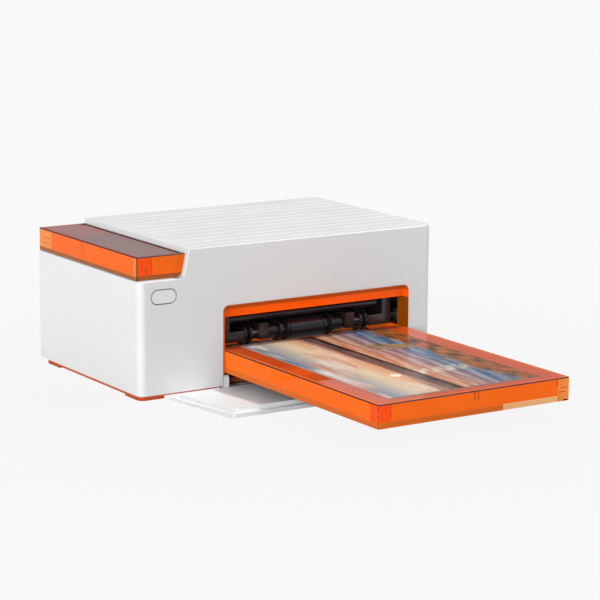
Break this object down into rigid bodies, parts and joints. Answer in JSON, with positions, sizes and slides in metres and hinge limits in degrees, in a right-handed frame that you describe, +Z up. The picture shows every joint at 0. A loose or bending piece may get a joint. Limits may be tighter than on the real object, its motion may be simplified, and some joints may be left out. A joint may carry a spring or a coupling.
{
  "type": "compact photo printer",
  "caption": "Compact desktop photo printer with a see-through paper tray in front, roller row in the outlet, fold-down front cover, lidded storage box and side ribbon door.",
  "frame": {"origin": "on the table, under the middle of the whole footprint, paper tray included", "axes": "+Z up, +Y from the tray towards the printer's back, +X to the right when the tray faces the viewer"},
  "size_m": [0.204, 0.2854, 0.0858],
  "materials": {
    "white_shell": "fine satin moulding",
    "clear_orange": "polished see-through moulding",
    "terracotta": "satin moulding",
    "foot_rubber": "soft matt",
    "black_gloss": "polished moulding",
    "dark_plastic": "satin moulding",
    "roller_rubber": "ground smooth",
    "steel": "plated sheet and rod",
    "aluminium": "extruded, plain",
    "gear_white": "moulded",
    "board_green": "solder mask",
    "black_film": "thin coated film",
    "ceramic": "glazed print line",
    "blank_paper": "coated, blank",
    "print_gloss": null,
    "button_white": "satin moulding"
  },
  "bodies": {
    "printer": {"main_casing": "white_shell", "rear_cover": "white_shell", "rear_screws": "steel", "base_plate": "terracotta", "left_foot_rail": "foot_rubber", "right_foot_rail": "foot_rubber", "case_screws": "steel", "cover_brackets": "white_shell", "cover_hinge_pins": "steel", "slot_frame": "clear_orange", "tray_guides": "dark_plastic", "feed_guide": "dark_plastic", "shaft_brackets": "dark_plastic", "left_side_frame": "steel", "right_side_frame": "steel", "frame_bushes": "gear_white", "tie_rods": "steel", "frame_screws": "steel", "motor_plate": "steel", "feed_motor": "steel", "motor_screws": "steel", "cartridge_shell": "dark_plastic", "ribbon_film": "black_film", "paper_ramp": "dark_plastic", "rear_guide": "dark_plastic", "main_board": "board_green", "rear_sockets": "steel", "button_board": "board_green", "storage_box": "clear_orange", "storage_hinge_pin": "clear_orange", "door_hinge_pin": "steel"},
    "front_cover": {"front_cover": "white_shell"},
    "tray": {"paper_tray": "clear_orange", "lid_hinge_pins": "steel", "lift_springs": "steel"},
    "tray_lid": {"tray_lid": "clear_orange", "photo_print": "print_gloss"},
    "lift_plate": {"lift_plate": "steel", "paper_stack": "blank_paper"},
    "feed_row": {"feed_shaft": "steel", "feed_roller": "roller_rubber", "guide_discs": "black_gloss", "shaft_sleeves": "black_gloss", "feed_gear": "gear_white"},
    "exit_roller": {"exit_roller": "black_gloss"},
    "idler_gear": {"idler_gear": "gear_white"},
    "platen": {"platen_roller": "roller_rubber", "platen_shaft": "steel", "platen_gear": "gear_white"},
    "motor_pinion": {"motor_pinion": "steel"},
    "takeup_spool": {"takeup_spool": "gear_white", "takeup_gear": "gear_white", "takeup_roll": "black_film"},
    "supply_spool": {"supply_spool": "gear_white", "supply_roll": "black_film"},
    "print_head": {"thermal_head": "ceramic", "head_bracket": "aluminium"},
    "storage_lid": {"storage_lid": "clear_orange"},
    "ribbon_door": {"ribbon_door": "white_shell"},
    "power_button": {"power_button": "button_white"}
  },
  "joints": [
    {"name": "tray_slide", "type": "slide", "parent": "printer", "child": "tray", "axis": [0, -1, 0], "range_m": [0, 0.034]},
    {"name": "tray_lid_hinge", "type": "hinge", "parent": "tray", "child": "tray_lid", "pos_m": [0.01955, 0.02095, 0.0223], "axis": [-1, 0, 0], "range_deg": [0, 60]},
    {"name": "lift_plate_slide", "type": "slide", "parent": "tray", "child": "lift_plate", "axis": [0, 0, 1], "range_m": [-0.0012, 0], "stiffness_N_per_m": 800, "springref_m": 0.004, "deforming": ["lift_springs"]},
    {"name": "front_cover_hinge", "type": "hinge", "parent": "printer", "child": "front_cover", "pos_m": [0, 0.01605, 0.0066], "axis": [-1, 0, 0], "range_deg": [0, 4]},
    {"name": "storage_lid_hinge", "type": "hinge", "parent": "printer", "child": "storage_lid", "pos_m": [-0.07439, 0.07565, 0.0814], "axis": [0, 1, 0], "range_deg": [0, 95]},
    {"name": "ribbon_door_hinge", "type": "hinge", "parent": "printer", "child": "ribbon_door", "pos_m": [0.101, 0.0763, 0.03096], "axis": [0, 1, 0], "range_deg": [0, 90]},
    {"name": "power_button_push", "type": "slide", "parent": "printer", "child": "power_button", "axis": [0, 1, 0], "range_m": [0, 0.0008], "stiffness_N_per_m": 500, "springref_m": -0.0008},
    {"name": "head_lift", "type": "hinge", "parent": "printer", "child": "print_head", "pos_m": [0.01955, 0.11295, 0.066], "axis": [-1, 0, 0], "range_deg": [0, 4]},
    {"name": "platen_spin", "type": "hinge", "parent": "printer", "child": "platen", "pos_m": [0.01955, 0.07632, 0.03399], "axis": [1, 0, 0], "continuous": true},
    {"name": "idler_spin", "type": "hinge", "parent": "printer", "child": "idler_gear", "pos_m": [-0.055, 0.05558, 0.02168], "axis": [1, 0, 0], "continuous": true},
    {"name": "feed_spin", "type": "hinge", "parent": "printer", "child": "feed_row", "pos_m": [0.01955, 0.03225, 0.0278], "axis": [1, 0, 0], "continuous": true},
    {"name": "exit_spin", "type": "hinge", "parent": "printer", "child": "exit_roller", "pos_m": [0.01955, 0.03225, 0.0378], "axis": [1, 0, 0], "continuous": true},
    {"name": "motor_spin", "type": "hinge", "parent": "printer", "child": "motor_pinion", "pos_m": [-0.055, 0.04081, 0.04263], "axis": [1, 0, 0], "continuous": true},
    {"name": "takeup_spin", "type": "hinge", "parent": "printer", "child": "takeup_spool", "pos_m": [0.01955, 0.05574, 0.05756], "axis": [1, 0, 0], "continuous": true},
    {"name": "supply_spin", "type": "hinge", "parent": "printer", "child": "supply_spool", "pos_m": [0.01955, 0.0969, 0.05756], "axis": [1, 0, 0], "continuous": true}
  ],
  "couplings": [
    {"joint": "idler_spin", "follows": "platen_spin", "ratio": -1},
    {"joint": "feed_spin", "follows": "platen_spin", "ratio": 1},
    {"joint": "exit_spin", "follows": "platen_spin", "ratio": -2.2333},
    {"joint": "motor_spin", "follows": "platen_spin", "ratio": -2.4},
    {"joint": "takeup_spin", "follows": "platen_spin", "ratio": 0.75},
    {"joint": "supply_spin", "follows": "platen_spin", "ratio": 0.55814}
  ]
}
